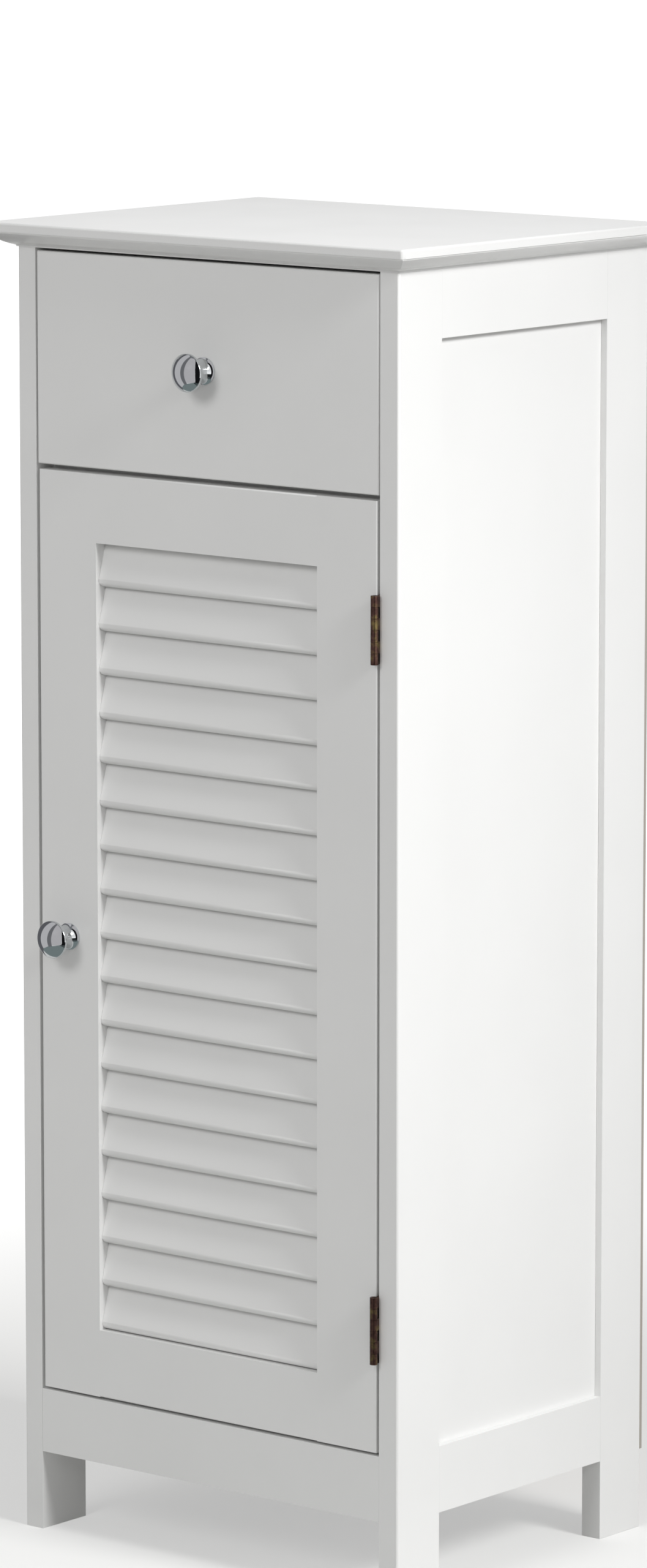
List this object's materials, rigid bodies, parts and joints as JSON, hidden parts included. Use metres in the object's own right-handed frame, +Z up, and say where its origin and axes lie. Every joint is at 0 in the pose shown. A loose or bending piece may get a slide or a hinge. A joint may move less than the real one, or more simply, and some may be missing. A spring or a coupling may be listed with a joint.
{
  "type": "louvred door cabinet",
  "caption": "Slim free-standing white cabinet: a drawer over a louvred door, framed side panels that run down as legs, a moulded top, chrome knobs and knuckled hinges.",
  "frame": {"origin": "on the floor, under the middle of the overall bounds with the knobs included", "axes": "+Z up, +X to the right seen from the front, and the front with its door and drawer faces -Y"},
  "size_m": [0.35, 0.284, 0.87],
  "materials": {
    "white_paint": "satin white paint over fibreboard and wood",
    "bare_wood": "bare pale softwood and plywood, smooth sanded",
    "hardboard": "thin hardboard sheet with a pale face",
    "polished_chrome": "mirror polished",
    "antique_bronze": "dark antique bronze with worn golden edges",
    "catch_plastic": "moulded white plastic",
    "zinc_steel": "zinc plated sheet steel"
  },
  "bodies": {
    "carcass": {"top_board": "white_paint", "left_front_leg": "white_paint", "left_rear_leg": "white_paint", "right_front_leg": "white_paint", "right_rear_leg": "white_paint", "left_upper_rail": "white_paint", "left_lower_rail": "white_paint", "right_upper_rail": "white_paint", "right_lower_rail": "white_paint", "left_side_panel": "white_paint", "right_side_panel": "white_paint", "front_apron": "white_paint", "cupboard_floor": "white_paint", "drawer_divider": "white_paint", "cupboard_shelf": "white_paint", "left_shelf_batten": "bare_wood", "right_shelf_batten": "bare_wood", "left_top_batten": "bare_wood", "right_top_batten": "bare_wood", "left_drawer_runner": "bare_wood", "right_drawer_runner": "bare_wood", "upper_hinge_frame_leaf": "antique_bronze", "lower_hinge_frame_leaf": "antique_bronze", "hinge_pins": "antique_bronze", "back_panel": "hardboard", "magnetic_catch": "catch_plastic"},
    "drawer": {"drawer_front": "white_paint", "drawer_left_side": "bare_wood", "drawer_right_side": "bare_wood", "drawer_back": "bare_wood", "drawer_bottom": "bare_wood", "drawer_knob": "polished_chrome"},
    "door": {"door_left_stile": "white_paint", "door_right_stile": "white_paint", "door_top_rail": "white_paint", "door_bottom_rail": "white_paint", "louvre_slat_01": "white_paint", "louvre_slat_02": "white_paint", "louvre_slat_03": "white_paint", "louvre_slat_04": "white_paint", "louvre_slat_05": "white_paint", "louvre_slat_06": "white_paint", "louvre_slat_07": "white_paint", "louvre_slat_08": "white_paint", "louvre_slat_09": "white_paint", "louvre_slat_10": "white_paint", "louvre_slat_11": "white_paint", "louvre_slat_12": "white_paint", "louvre_slat_13": "white_paint", "louvre_slat_14": "white_paint", "louvre_slat_15": "white_paint", "louvre_slat_16": "white_paint", "louvre_slat_17": "white_paint", "louvre_slat_18": "white_paint", "door_knob": "polished_chrome", "upper_hinge_door_leaf": "antique_bronze", "lower_hinge_door_leaf": "antique_bronze", "catch_strike_plate": "zinc_steel"}
  },
  "joints": [
    {"name": "drawer_slide", "type": "slide", "parent": "carcass", "child": "drawer", "axis": [0, -1, 0], "range_m": [0, 0.19]},
    {"name": "door_hinge", "type": "hinge", "parent": "carcass", "child": "door", "pos_m": [0.1429, -0.122, 0.404], "axis": [0, 0, 1], "range_deg": [0, 180]}
  ]
}
